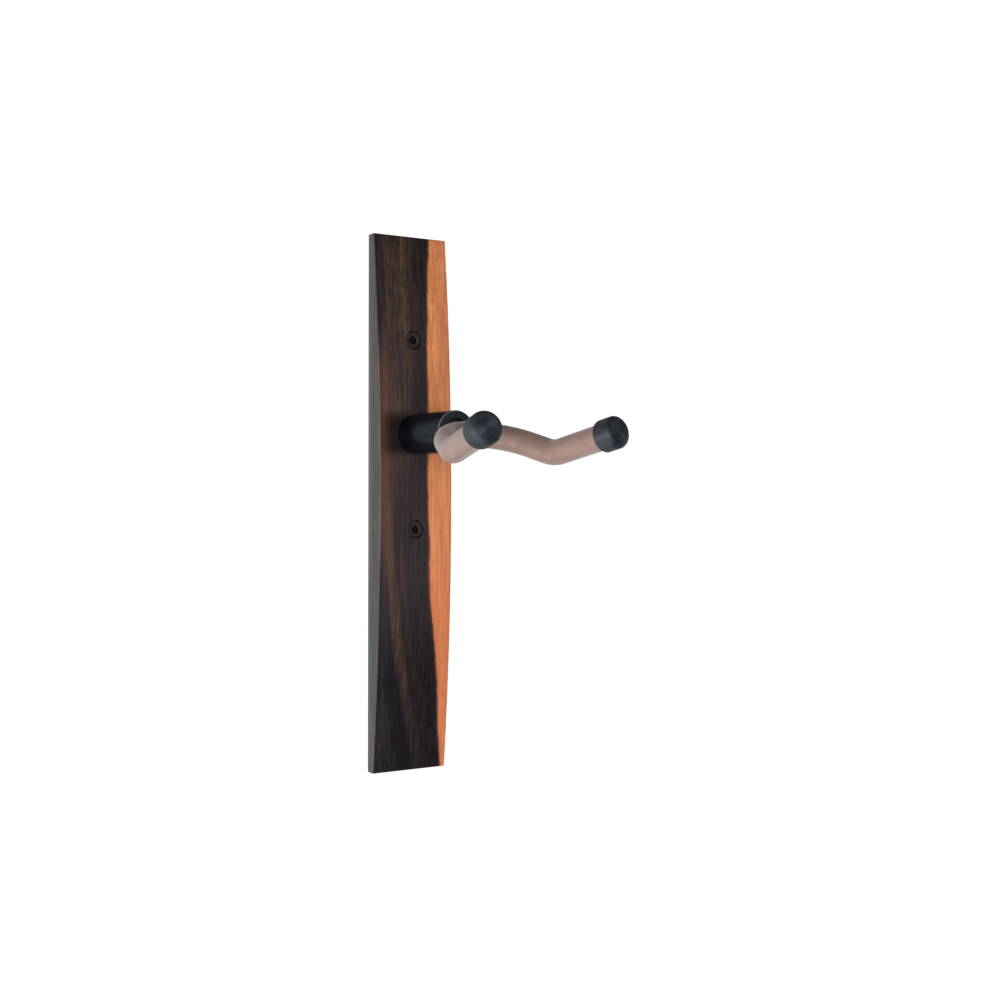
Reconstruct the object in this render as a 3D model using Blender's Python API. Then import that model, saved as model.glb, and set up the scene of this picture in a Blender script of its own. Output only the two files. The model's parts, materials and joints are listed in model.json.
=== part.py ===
"""Wall guitar hanger: wooden back plate, round standoff and a swivelling padded yoke.

Frame: the origin is the centre of the plate's back face, which lies on the wall. +X is to the
right as one faces the wall, +Y points into the wall and +Z is up, so the yoke reaches out along -Y.
"""
import math

import bmesh
import bpy
from mathutils import Vector

MM = 0.001
GAP = 0.3 * MM  # left between pieces that touch
EDGE_ANGLE = math.radians(35)

# Back plate: flat at the back, crowned lengthwise at the front.
PLATE_WIDTH = 45.5 * MM
PLATE_HEIGHT = 300.0 * MM
PLATE_END_THICKNESS = 6.5 * MM
PLATE_MIDDLE_THICKNESS = 14.5 * MM
PLATE_EDGE_EASING = 0.7 * MM
PLATE_STATIONS = 25

# Swivel axis, along Y at this height, and the standoff around it.
AXIS_HEIGHT = 38.5 * MM
TUBE_RADIUS = 11.2 * MM
TUBE_BORE_RADIUS = 7.0 * MM
TUBE_BACK = -12.9 * MM
TUBE_FRONT = -59.0 * MM
TUBE_CHAMFER = 0.5 * MM
SEAT_RADIUS = 11.6 * MM
BORE_FIT_RADIUS = TUBE_BORE_RADIUS - 0.2 * MM  # outer radius of what sits in the tube

# Fixing of the standoff, from behind the plate.
BOLT_RADIUS = 2.9 * MM
BOLT_HEAD_RADIUS = 5.0 * MM
BOLT_HEAD_HEIGHT = 6.0 * MM
BOLT_END = -20.5 * MM
BOLT_RECESS_RADIUS = 6.7 * MM
BOLT_RECESS_FLOOR = -8.9 * MM
BOLT_WASHER_THICKNESS = 1.6 * MM
PLUG_LENGTH = 8.3 * MM
PIN_RADIUS = 1.0 * MM
PIN_OFFSET = 9.1 * MM
PIN_DEPTH = 3.0 * MM

# Wall screws, one above and one below the swivel axis.
SCREW_SPACING = 53.0 * MM
SCREW_HEAD_RADIUS = 4.7 * MM
SCREW_HEAD_HEIGHT = 3.2 * MM
SCREW_HEAD_RECESS = 1.0 * MM
SCREW_RADIUS = 2.3 * MM
SCREW_LENGTH = 45.0 * MM
SCREW_POINT = 6.0 * MM
COUNTERBORE_RADIUS = 5.5 * MM

# Swivel: spindle, bushes and what holds them together.
SPINDLE_RADIUS = 4.0 * MM
SPINDLE_RUNNING_FIT = 0.1 * MM
SPINDLE_THREAD_RADIUS = 2.95 * MM
SPINDLE_FRONT = -71.9 * MM
SPINDLE_SHOULDER = -33.0 * MM
SPINDLE_END = -23.5 * MM
FRONT_BUSH = (-55.5 * MM, -45.5 * MM)
REAR_BUSH = (-42.0 * MM, -34.0 * MM)
THRUST_WASHER = (-56.8 * MM, -55.8 * MM)
SPINDLE_WASHER = (-32.7 * MM, -31.5 * MM)
SPRING_WASHER_MIDDLE = -33.35 * MM
NUT = (-31.2 * MM, -25.2 * MM)
NUT_ACROSS_FLATS = 10.0 * MM
HUB_RADIUS = 5.2 * MM
HUB_BACK = -57.1 * MM
HUB_FRONT = -73.4 * MM

# Yoke centre line: two legs that would meet at the apex, an elbow in each, and the tips.
YOKE_APEX = Vector((0.0, -27.2 * MM, 52.4 * MM))
YOKE_ELBOW = Vector((30.1 * MM, -107.1 * MM, 25.9 * MM))
YOKE_TIP = Vector((37.9 * MM, -152.3 * MM, 35.8 * MM))
BACK_BEND_RADIUS = 26.2 * MM
ELBOW_BEND_RADIUS = 18.0 * MM
BACK_BEND_STEPS = 9  # on each side of the middle
ELBOW_BEND_STEPS = 4
ROD_RADIUS = 4.0 * MM
SLEEVE_RADIUS = 6.7 * MM
CAP_RADIUS = 8.35 * MM
CAP_LENGTH = 10.8 * MM
CAP_END_THICKNESS = 3.0 * MM
CAP_EDGE_RADIUS = 2.6 * MM
CAP_LIP_RADIUS = 0.7 * MM

COLOURS = {  # base colour, roughness, metallic
    "wood": ((0.030, 0.018, 0.014), 0.45, 0.0),
    "black_metal": ((0.010, 0.011, 0.014), 0.38, 0.6),
    "steel": ((0.45, 0.45, 0.46), 0.35, 1.0),
    "dark_screw": ((0.035, 0.030, 0.028), 0.42, 0.8),
    "nylon": ((0.020, 0.020, 0.022), 0.55, 0.0),
    "white_nylon": ((0.75, 0.74, 0.70), 0.50, 0.0),
    "sleeve": ((0.366, 0.238, 0.195), 0.65, 0.0),
    "cap": ((0.026, 0.032, 0.040), 0.70, 0.0),
}


def clear_scene():
    for obj in list(bpy.data.objects):
        bpy.data.objects.remove(obj, do_unlink=True)


def make_material(node, finish):
    colour, roughness, metallic = COLOURS[finish]
    material = bpy.data.materials.new(node)
    material.use_nodes = True
    shader = material.node_tree.nodes["Principled BSDF"]
    shader.inputs["Base Color"].default_value = (*colour, 1.0)
    shader.inputs["Roughness"].default_value = roughness
    shader.inputs["Metallic"].default_value = metallic
    return material


def make_object(node, bm, finish=None, parent=None, location=(0, 0, 0)):
    """Turn a bmesh into a named object. Without a finish it is a hidden cutter."""
    bmesh.ops.remove_doubles(bm, verts=bm.verts, dist=0.001 * MM)
    bmesh.ops.recalc_face_normals(bm, faces=bm.faces)
    mesh = bpy.data.meshes.new(node)
    bm.to_mesh(mesh)
    bm.free()
    mesh.shade_smooth()
    mesh.set_sharp_from_angle(angle=EDGE_ANGLE)
    obj = bpy.data.objects.new(node, mesh)
    bpy.context.scene.collection.objects.link(obj)
    obj.location = location
    obj.parent = parent
    if finish is None:
        obj.hide_render = True
        obj.display_type = "WIRE"
    else:
        mesh.materials.append(make_material(node, finish))
    return obj


def add_boolean(obj, cutter, operation="DIFFERENCE"):
    modifier = obj.modifiers.new(cutter.name, "BOOLEAN")
    modifier.operation = operation
    modifier.object = cutter


def turned(profile, steps=40, closed=True):
    """Spin (radius, y) points about the Y axis. An open profile starts and ends on the axis."""
    bm = bmesh.new()
    points = [bm.verts.new((radius, y, 0.0)) for radius, y in profile]
    pairs = list(zip(points, points[1:]))
    if closed:
        pairs.append((points[-1], points[0]))
    edges = [bm.edges.new(pair) for pair in pairs]
    bmesh.ops.spin(bm, geom=points + edges, cent=(0, 0, 0), axis=(0, 1, 0), angle=2 * math.pi,
                   steps=steps, use_merge=True)
    bmesh.ops.remove_doubles(bm, verts=bm.verts, dist=0.001 * MM)
    return bm


def turned_ring(inner, outer, y_low, y_high, steps=40):
    return turned([(outer, y_high), (outer, y_low), (inner, y_low), (inner, y_high)], steps)


def turned_rod(radius, y_low, y_high, steps=40):
    return turned([(0, y_high), (radius, y_high), (radius, y_low), (0, y_low)], steps, closed=False)


def arc_points(centre, radius, start, end, steps):
    """Points of an arc in a (radius, y) profile, with angles in degrees from the +radius side."""
    angles = [math.radians(start + (end - start) * i / steps) for i in range(steps + 1)]
    return [(centre[0] + radius * math.cos(a), centre[1] + radius * math.sin(a)) for a in angles]


def hex_prism(across_flats, y_low, y_high):
    """A six-sided prism along Y."""
    bm = bmesh.new()
    corner = across_flats / 2 / math.cos(math.pi / 6)
    angles = [math.pi / 3 * i for i in range(6)]
    corners = [bm.verts.new((corner * math.cos(a), y_low, corner * math.sin(a))) for a in angles]
    end = bm.faces.new(corners)
    swept = bmesh.ops.extrude_face_region(bm, geom=[end])["geom"]
    moved = [item for item in swept if isinstance(item, bmesh.types.BMVert)]
    bmesh.ops.translate(bm, verts=moved, vec=(0, y_high - y_low, 0))
    return bm


def plate_thickness(z):
    """Thickness of the plate at height z: an arc between its middle and its ends."""
    rise = PLATE_MIDDLE_THICKNESS - PLATE_END_THICKNESS
    half = PLATE_HEIGHT / 2
    crown_radius = (half * half + rise * rise) / (2 * rise)
    return PLATE_MIDDLE_THICKNESS - crown_radius + math.sqrt(crown_radius ** 2 - z * z)


def bend_points(before, corner, after, radius, steps):
    """The rounded corner of a centre line, as points on an arc tangent to both of its sides."""
    side_in = (before - corner).normalized()
    side_out = (after - corner).normalized()
    half_angle = side_in.angle(side_out) / 2
    middle = corner + (side_in + side_out).normalized() * radius / math.sin(half_angle)
    spoke_in = corner + side_in * radius / math.tan(half_angle) - middle
    spoke_out = corner + side_out * radius / math.tan(half_angle) - middle
    turn = math.pi - 2 * half_angle
    points = []
    for i in range(steps + 1):
        angle = turn * i / steps
        weight_in = math.sin(turn - angle) / math.sin(turn)
        weight_out = math.sin(angle) / math.sin(turn)
        points.append(middle + spoke_in * weight_in + spoke_out * weight_out)
    return points


def arm_line(side, end_inset):
    """Centre line of one arm, from the middle of the yoke to end_inset short of its tip."""
    mirror = Vector((-1, 1, 1))
    back = bend_points(YOKE_ELBOW * mirror, YOKE_APEX, YOKE_ELBOW, BACK_BEND_RADIUS,
                       2 * BACK_BEND_STEPS)
    elbow = bend_points(YOKE_APEX, YOKE_ELBOW, YOKE_TIP, ELBOW_BEND_RADIUS, ELBOW_BEND_STEPS)
    end = YOKE_TIP - (YOKE_TIP - YOKE_ELBOW).normalized() * end_inset
    points = back[BACK_BEND_STEPS:] + elbow + [end]
    return [Vector((side * point.x, point.y, point.z)) for point in points]


def line_tangents(points):
    """Directions at the points of a centre line, for rings that lie square to it."""
    last = len(points) - 1
    return [(points[min(i + 1, last)] - points[max(i - 1, 0)]).normalized()
            for i in range(last + 1)]


def add_ring(bm, centre, tangent, radius, sides):
    across = tangent.cross(Vector((0, 0, 1))).normalized()
    upward = across.cross(tangent)
    angles = [2 * math.pi * i / sides for i in range(sides)]
    return [bm.verts.new(centre + radius * (math.cos(a) * across + math.sin(a) * upward))
            for a in angles]


def bridge_rings(bm, rings):
    for ring, following in zip(rings, rings[1:]):
        for i in range(len(ring)):
            j = (i + 1) % len(ring)
            bm.faces.new((ring[i], ring[j], following[j], following[i]))


def swept_bar(points, radius, sides):
    bm = bmesh.new()
    tangents = line_tangents(points)
    rings = [add_ring(bm, p, t, radius, sides) for p, t in zip(points, tangents)]
    bridge_rings(bm, rings)
    bm.faces.new(rings[0])
    bm.faces.new(rings[-1])
    return bm


def swept_hose(points, tangents, inner, outer, sides):
    bm = bmesh.new()
    outside = [add_ring(bm, p, t, outer, sides) for p, t in zip(points, tangents)]
    inside = [add_ring(bm, p, t, inner, sides) for p, t in zip(points, tangents)]
    bridge_rings(bm, outside + inside[::-1] + outside[:1])
    return bm


def make_pivot(name):
    """An empty on the swivel axis, which everything on the axis is built around."""
    pivot = bpy.data.objects.new(name, None)
    pivot.empty_display_size = 0.01
    pivot.location = (0, 0, AXIS_HEIGHT)
    bpy.context.scene.collection.objects.link(pivot)
    return pivot


def plate_body():
    """The crowned board, drawn as one side and extruded across its width."""
    bm = bmesh.new()
    half = PLATE_HEIGHT / 2
    heights = [-half + PLATE_HEIGHT * i / (PLATE_STATIONS - 1) for i in range(PLATE_STATIONS)]
    outline = [(0.0, half), (0.0, -half)] + [(-plate_thickness(z), z) for z in heights]
    side = bm.faces.new([bm.verts.new((-PLATE_WIDTH / 2, y, z)) for y, z in outline])
    swept = bmesh.ops.extrude_face_region(bm, geom=[side])["geom"]
    moved = [item for item in swept if isinstance(item, bmesh.types.BMVert)]
    bmesh.ops.translate(bm, verts=moved, vec=(PLATE_WIDTH, 0, 0))
    bmesh.ops.recalc_face_normals(bm, faces=bm.faces)
    front = [edge for edge in bm.edges
             if edge.calc_face_angle() > EDGE_ANGLE and max(v.co.y for v in edge.verts) < -GAP]
    bmesh.ops.bevel(bm, geom=front, offset=PLATE_EDGE_EASING, segments=2, profile=0.5,
                    affect="EDGES")
    return bm


def make_plate(pivot):
    plate = make_object("backplate", plate_body(), "wood")
    behind = 5 * MM
    before = -PLATE_MIDDLE_THICKNESS - 5 * MM
    seat = TUBE_BACK + GAP
    stepped = [(0, behind), (BOLT_RECESS_RADIUS, behind), (BOLT_RECESS_RADIUS, BOLT_RECESS_FLOOR),
               (BOLT_RADIUS + GAP, BOLT_RECESS_FLOOR), (BOLT_RADIUS + GAP, seat),
               (SEAT_RADIUS, seat), (SEAT_RADIUS, before), (0, before)]
    add_boolean(plate, make_object("cut_plate_fixing", turned(stepped, 48, closed=False),
                                   parent=pivot))
    for name, rise in (("upper", PIN_OFFSET), ("lower", -PIN_OFFSET)):
        hole = turned_rod(PIN_RADIUS + GAP, before, seat + PIN_DEPTH + GAP, 12)
        cutter = make_object(f"cut_plate_{name}_pin", hole, parent=pivot, location=(0, 0, rise))
        add_boolean(plate, cutter)
    for name, rise in (("upper", SCREW_SPACING), ("lower", -SCREW_SPACING)):
        floor = -plate_thickness(AXIS_HEIGHT + rise) + SCREW_HEAD_RECESS + SCREW_HEAD_HEIGHT
        counterbore = [(0, behind), (SCREW_RADIUS + GAP, behind), (SCREW_RADIUS + GAP, floor + GAP),
                       (COUNTERBORE_RADIUS, floor + GAP), (COUNTERBORE_RADIUS, before), (0, before)]
        cutter = make_object(f"cut_plate_{name}_screw", turned(counterbore, 32, closed=False),
                             parent=pivot, location=(0, 0, rise))
        add_boolean(plate, cutter)


def make_wall_screw(name, rise, pivot):
    """A cheese-head wood screw with a hexagon socket, sunk in its counterbore."""
    top = -plate_thickness(AXIS_HEIGHT + rise) + SCREW_HEAD_RECESS
    seat = top + SCREW_HEAD_HEIGHT
    edge = 0.6 * MM
    rounding = arc_points((SCREW_HEAD_RADIUS - edge, top + edge), edge, 0, -90, 3)
    end = seat + SCREW_LENGTH
    profile = [(0, end), (SCREW_RADIUS, end - SCREW_POINT), (SCREW_RADIUS, seat),
               (SCREW_HEAD_RADIUS, seat)] + rounding + [(0, top)]
    place = {"parent": pivot, "location": (0, 0, rise)}
    screw = make_object(f"{name}_wall_screw", turned(profile, 28, closed=False), "dark_screw",
                        **place)
    socket = hex_prism(4.0 * MM, top - 1 * MM, top + 2.2 * MM)
    add_boolean(screw, make_object(f"cut_{name}_screw_socket", socket, **place))


def make_standoff(pivot):
    chamfer = TUBE_CHAMFER
    profile = [(TUBE_RADIUS, TUBE_BACK), (TUBE_RADIUS, TUBE_FRONT + chamfer),
               (TUBE_RADIUS - chamfer, TUBE_FRONT), (TUBE_BORE_RADIUS + chamfer, TUBE_FRONT),
               (TUBE_BORE_RADIUS, TUBE_FRONT + chamfer), (TUBE_BORE_RADIUS, TUBE_BACK)]
    tube = make_object("standoff_tube", turned(profile, 48), "black_metal", pivot)
    for name, rise in (("upper", PIN_OFFSET), ("lower", -PIN_OFFSET)):
        low = TUBE_BACK - PIN_DEPTH - GAP
        place = {"parent": pivot, "location": (0, 0, rise)}
        hole = turned_rod(PIN_RADIUS + GAP, low, TUBE_BACK + 1 * MM, 12)
        add_boolean(tube, make_object(f"cut_tube_{name}_pin", hole, **place))
        pin = turned_rod(PIN_RADIUS, TUBE_BACK - PIN_DEPTH, TUBE_BACK + GAP + PIN_DEPTH, 12)
        make_object(f"{name}_locating_pin", pin, "steel", **place)


def make_fixing(pivot):
    """The threaded plug in the tube's back end, and the bolt that draws it to the plate."""
    plug = turned_ring(BOLT_RADIUS + GAP, BORE_FIT_RADIUS, TUBE_BACK - PLUG_LENGTH, TUBE_BACK)
    make_object("base_plug", plug, "steel", pivot)
    washer_low = BOLT_RECESS_FLOOR + GAP
    washer_high = washer_low + BOLT_WASHER_THICKNESS
    washer = turned_ring(BOLT_RADIUS + GAP, 6.0 * MM, washer_low, washer_high)
    make_object("mounting_washer", washer, "steel", pivot)
    under_head = washer_high + GAP
    head_top = under_head + BOLT_HEAD_HEIGHT
    profile = [(0, head_top), (BOLT_HEAD_RADIUS - 0.6 * MM, head_top),
               (BOLT_HEAD_RADIUS, head_top - 0.6 * MM), (BOLT_HEAD_RADIUS, under_head),
               (BOLT_RADIUS, under_head), (BOLT_RADIUS, BOLT_END), (0, BOLT_END)]
    bolt = make_object("mounting_bolt", turned(profile, 32, closed=False), "dark_screw", pivot)
    socket = hex_prism(5.0 * MM, head_top - 3.0 * MM, head_top + 1 * MM)
    add_boolean(bolt, make_object("cut_bolt_socket", socket, parent=pivot))


def make_swivel(pivot):
    """Bushes in the tube, the spindle that turns in them, and the stack that retains it."""
    bore = SPINDLE_RADIUS + SPINDLE_RUNNING_FIT
    for name, span in (("front_bush", FRONT_BUSH), ("rear_bush", REAR_BUSH)):
        make_object(name, turned_ring(bore, BORE_FIT_RADIUS, *span), "nylon", pivot)
    spindle = [(0, SPINDLE_END), (SPINDLE_THREAD_RADIUS, SPINDLE_END),
               (SPINDLE_THREAD_RADIUS, SPINDLE_SHOULDER), (SPINDLE_RADIUS, SPINDLE_SHOULDER),
               (SPINDLE_RADIUS, SPINDLE_FRONT), (0, SPINDLE_FRONT)]
    make_object("spindle", turned(spindle, closed=False), "steel", pivot)
    thrust = turned_ring(SPINDLE_RADIUS + GAP, 6.5 * MM, *THRUST_WASHER)
    make_object("thrust_washer", thrust, "nylon", pivot)
    washer = turned_ring(SPINDLE_THREAD_RADIUS + GAP, 6.0 * MM, *SPINDLE_WASHER)
    make_object("spindle_washer", washer, "steel", pivot)
    make_spring_washer(pivot)
    make_lock_nut(pivot)


def make_spring_washer(pivot):
    """A ring of spring steel with three waves."""
    half_thickness = 0.15 * MM
    wave_height = 0.15 * MM
    bm = turned_ring(SPINDLE_RADIUS + GAP, 6.3 * MM, -half_thickness, half_thickness, 36)
    for vertex in bm.verts:
        angle = math.atan2(vertex.co.z, vertex.co.x)
        vertex.co.y += SPRING_WASHER_MIDDLE + wave_height * math.cos(3 * angle)
    make_object("spring_washer", bm, "steel", pivot)


def make_lock_nut(pivot):
    """A hexagon nut with a collar that holds a nylon locking ring."""
    low, high = NUT
    ring_seat = high - 1.9 * MM
    collar_start = high - 2.2 * MM
    thread = SPINDLE_THREAD_RADIUS + GAP
    nut = make_object("lock_nut", hex_prism(NUT_ACROSS_FLATS, low, collar_start), "steel", pivot)
    collar = turned_rod(4.7 * MM, low + 1 * MM, high, 36)
    hole = turned([(0, high + 1 * MM), (4.1 * MM, high + 1 * MM), (4.1 * MM, ring_seat),
                   (thread, ring_seat), (thread, low - 1 * MM), (0, low - 1 * MM)], 36,
                  closed=False)
    add_boolean(nut, make_object("add_nut_collar", collar, parent=pivot), "UNION")
    add_boolean(nut, make_object("cut_nut_hole", hole, parent=pivot))
    ring = turned_ring(thread, 4.1 * MM - GAP, ring_seat + GAP, high - GAP, 36)
    make_object("lock_nut_insert", ring, "white_nylon", pivot)


def make_hub(pivot):
    """The boss that joins the spindle to the yoke rod, saddled over the rod."""
    profile = [(HUB_RADIUS, HUB_BACK), (HUB_RADIUS, HUB_FRONT),
               (SPINDLE_RADIUS + GAP, HUB_FRONT), (SPINDLE_RADIUS + GAP, HUB_BACK)]
    hub = make_object("hub", turned(profile), "black_metal", pivot)
    middle = arm_line(-1, 0)[3:0:-1] + arm_line(1, 0)[:4]
    saddle = swept_bar(middle, ROD_RADIUS + GAP, 24)
    add_boolean(hub, make_object("cut_hub_saddle", saddle))


def make_yoke_rod():
    inset = CAP_END_THICKNESS + GAP
    points = arm_line(-1, inset)[:0:-1] + arm_line(1, inset)
    make_object("yoke_rod", swept_bar(points, ROD_RADIUS, 16), "steel")


def make_sleeve(name, side, pivot):
    """The soft covering of one arm. The two meet at the hub, which each is notched for."""
    points = arm_line(side, CAP_END_THICKNESS + GAP)
    tangents = line_tangents(points)
    tangents[0] = Vector((side, 0, 0))
    points[0].x = side * GAP / 2
    hose = swept_hose(points, tangents, ROD_RADIUS + GAP, SLEEVE_RADIUS, 24)
    sleeve = make_object(f"{name}_sleeve", hose, "sleeve")
    notch = turned_rod(HUB_RADIUS + GAP, HUB_FRONT - GAP, HUB_BACK, 32)
    add_boolean(sleeve, make_object(f"cut_{name}_sleeve_notch", notch, parent=pivot))


def make_cap(name, side):
    """A moulded rubber cap on the end of one arm, drawn along Y with its face towards -Y."""
    edge = CAP_EDGE_RADIUS
    lip = CAP_LIP_RADIUS
    inner = SLEEVE_RADIUS + GAP
    profile = [(0, 0.35 * MM), (1.1 * MM, 0)]
    profile += arc_points((CAP_RADIUS - edge, edge), edge, -90, 0, 4)
    profile += arc_points((CAP_RADIUS - lip, CAP_LENGTH - lip), lip, 0, 90, 2)
    profile += [(inner, CAP_LENGTH), (inner, CAP_END_THICKNESS), (0, CAP_END_THICKNESS)]
    cap = make_object(f"{name}_end_cap", turned(profile, 32, closed=False), "cap")
    outward = YOKE_TIP - YOKE_ELBOW
    outward.x *= side
    cap.location = (side * YOKE_TIP.x, YOKE_TIP.y, YOKE_TIP.z)
    cap.rotation_euler = Vector((0, -1, 0)).rotation_difference(outward).to_euler()


def build():
    clear_scene()
    pivot = make_pivot("standoff_axis")
    swivel = make_pivot("swivel_axis")
    make_plate(pivot)
    make_wall_screw("upper", SCREW_SPACING, pivot)
    make_wall_screw("lower", -SCREW_SPACING, pivot)
    make_standoff(pivot)
    make_fixing(pivot)
    make_swivel(swivel)
    make_hub(swivel)
    make_yoke_rod()
    for name, side in (("left", -1), ("right", 1)):
        make_sleeve(name, side, swivel)
        make_cap(name, side)


build()
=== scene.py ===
"""Looks of the wall guitar hanger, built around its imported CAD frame.

Everything is in metres in the frame's own axes: the origin is the centre of the plate's back face,
+X is to the right as one faces the wall, +Y points into the wall and +Z is up. Inside the
materials, places and lengths are in millimetres.
"""
import json
import math

import bmesh
import bpy
from mathutils import Euler, Matrix, Vector


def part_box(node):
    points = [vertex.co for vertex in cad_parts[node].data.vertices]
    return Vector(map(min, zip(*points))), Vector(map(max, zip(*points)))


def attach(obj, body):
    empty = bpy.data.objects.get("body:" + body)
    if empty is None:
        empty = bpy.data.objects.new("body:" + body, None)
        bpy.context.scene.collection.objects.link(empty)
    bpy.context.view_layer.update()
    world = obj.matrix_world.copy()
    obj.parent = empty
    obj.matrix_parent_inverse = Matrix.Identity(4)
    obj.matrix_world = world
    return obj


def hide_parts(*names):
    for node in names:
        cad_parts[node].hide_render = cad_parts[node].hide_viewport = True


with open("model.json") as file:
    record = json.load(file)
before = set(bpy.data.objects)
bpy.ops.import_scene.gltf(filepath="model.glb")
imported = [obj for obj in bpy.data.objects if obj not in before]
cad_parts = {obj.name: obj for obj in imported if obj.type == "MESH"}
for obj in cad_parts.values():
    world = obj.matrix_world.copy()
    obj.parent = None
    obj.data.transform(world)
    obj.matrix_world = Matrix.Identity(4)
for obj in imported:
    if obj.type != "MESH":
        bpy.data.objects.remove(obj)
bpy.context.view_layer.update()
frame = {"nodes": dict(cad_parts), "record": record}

MM = 0.001
SHARP_ANGLE = math.radians(35)
PLAY = 0.05 * MM  # between a visual piece and what it is fitted to

# The photograph's viewing angle
CAMERA_AZIMUTH = math.radians(32)
CAMERA_DISTANCE = 793.3 * MM
CAMERA_RIGHT = 54.4 * MM
CAMERA_UP = 2.0 * MM
CAMERA_ROLL = math.radians(0.1)
CAMERA_LENS = 50.38
SENSOR_WIDTH = 36

# Stage: a room that is bright behind the object and dim on the camera's side
FLOOR_HEIGHT = -1.0
FLOOR_HALF_SIDE = 60.0
ROOM_FRONT = 0.05
ROOM_BACK = 1.1
ROOM_SEEN = 1.05
LIGHT_TARGET = Vector((0, -0.05, 0))
LIGHTS = (  # name, place, diameter and power in watts
    ("key", (-0.9, -1.8, 0.10), 1.2, 27),
    ("side", (-1.6, -0.40, -0.42), 0.9, 21),
    ("low", (-0.42, -0.50, -0.85), 0.45, 4.5),
    ("right", (2.0, -0.4, 0.0), 1.0, 5),
)

# Board: flat at the back, crowned lengthwise at the front
BOARD_LOW, BOARD_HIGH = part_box("backplate")
BOARD_END_THICKNESS = 6.5 * MM
BOARD_EDGE = 0.45 * MM
BOARD_STATIONS = 121
CLEAR = 5 * MM  # how far a cutter stands out of what it cuts
SHANK_GAP = 0.02 * MM  # between a screw's head and its shank, which are separate pieces

# Standoff and the fixing behind it
TUBE_LOW, TUBE_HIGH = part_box("standoff_tube")
AXIS_HEIGHT = (TUBE_LOW.z + TUBE_HIGH.z) / 2
TUBE_BORE = 7.0 * MM
RECESS_RADIUS = 6.7 * MM
RECESS_FLOOR = -8.9 * MM
BOLT_HOLE = 3.2 * MM
BOLT_HEAD_RADIUS = 5.0 * MM
BOLT_HEAD_HEIGHT = 6.0 * MM
BOLT_SOCKET = 5.0 * MM  # across its flats
BOLT_SOCKET_DEPTH = 3.0 * MM
KNURLS = 36

# Wall screws
SCREW_SPACING = 53.0 * MM
SCREW_RECESS = 1.0 * MM
SCREW_HEAD_RADIUS = 4.7 * MM
SCREW_HEAD_HEIGHT = 3.2 * MM
SCREW_SOCKET = 4.0 * MM  # across its flats
SCREW_SOCKET_DEPTH = 2.2 * MM
COUNTERBORE = 5.2 * MM
SCREW_HOLE = 2.6 * MM

# The yoke's centre line: two legs that would meet at the apex, an elbow in each, and the tips
YOKE_APEX = Vector((0.0, -27.2 * MM, 52.4 * MM))
YOKE_ELBOW = Vector((30.1 * MM, -107.1 * MM, 25.9 * MM))
YOKE_TIP = Vector((37.9 * MM, -152.3 * MM, 35.8 * MM))
BACK_BEND_RADIUS = 26.2 * MM
ELBOW_BEND_RADIUS = 18.0 * MM
BACK_STEPS = 40
ROD_RADIUS = 4.0 * MM
SLEEVE_RADIUS = 6.7 * MM
SLEEVE_GAP = 0.15 * MM
SLEEVE_SIDES = 64
CAP_RADIUS = 8.35 * MM
CAP_LENGTH = 10.8 * MM
CAP_END_THICKNESS = 3.0 * MM
HUB_FRONT = -68.6 * MM


# ---------------------------------------------------------------- node trees

class Nodes:
    """A node tree, with short ways to add the nodes that these looks use."""

    def __init__(self, tree):
        self.tree = tree

    def add(self, kind, **settings):
        node = self.tree.nodes.new(kind)
        for name, value in settings.items():
            setattr(node, name, value)
        return node

    def link(self, value, socket):
        """Link a socket to another, or set it to a plain value."""
        if isinstance(value, bpy.types.NodeSocket):
            self.tree.links.new(value, socket)
        else:
            socket.default_value = value

    def fill(self, node, **values):
        """Set or link a node's inputs, named with _ for each space."""
        for name, value in values.items():
            self.link(value, node.inputs[name.replace("_", " ")])

    def math(self, operation, first, second=0.0, third=0.0, clamp=False):
        node = self.add("ShaderNodeMath", operation=operation, use_clamp=clamp)
        for value, socket in zip((first, second, third), node.inputs):
            self.link(value, socket)
        return node.outputs[0]

    def product(self, first, *others, clamp=False):
        for other in others:
            first = self.math("MULTIPLY", first, other, clamp=clamp)
        return first

    def away(self, value, centre):
        """How far a value lies from a centre, to either side."""
        return self.math("ABSOLUTE", self.math("SUBTRACT", value, centre))

    def length(self, first, second):
        squares = [self.math("MULTIPLY", value, value) for value in (first, second)]
        return self.math("SQRT", self.math("ADD", *squares))

    def remap(self, value, low, high, to_low=0.0, to_high=1.0, smooth=False):
        node = self.add("ShaderNodeMapRange",
                        interpolation_type="SMOOTHSTEP" if smooth else "LINEAR")
        self.fill(node, Value=value, From_Min=low, From_Max=high, To_Min=to_low, To_Max=to_high)
        return node.outputs[0]

    def split(self, place):
        node = self.add("ShaderNodeSeparateXYZ")
        self.link(place, node.inputs[0])
        return node.outputs[0], node.outputs[1], node.outputs[2]

    def strength(self, seen, otherwise, socket):
        """Set a strength to one value where the camera looks straight at it, else to another."""
        path = self.add("ShaderNodeLightPath")
        choice = self.add("ShaderNodeMix")
        self.fill(choice, Factor=path.outputs["Is Camera Ray"], A=otherwise, B=seen)
        self.link(choice.outputs["Result"], socket)


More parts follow.
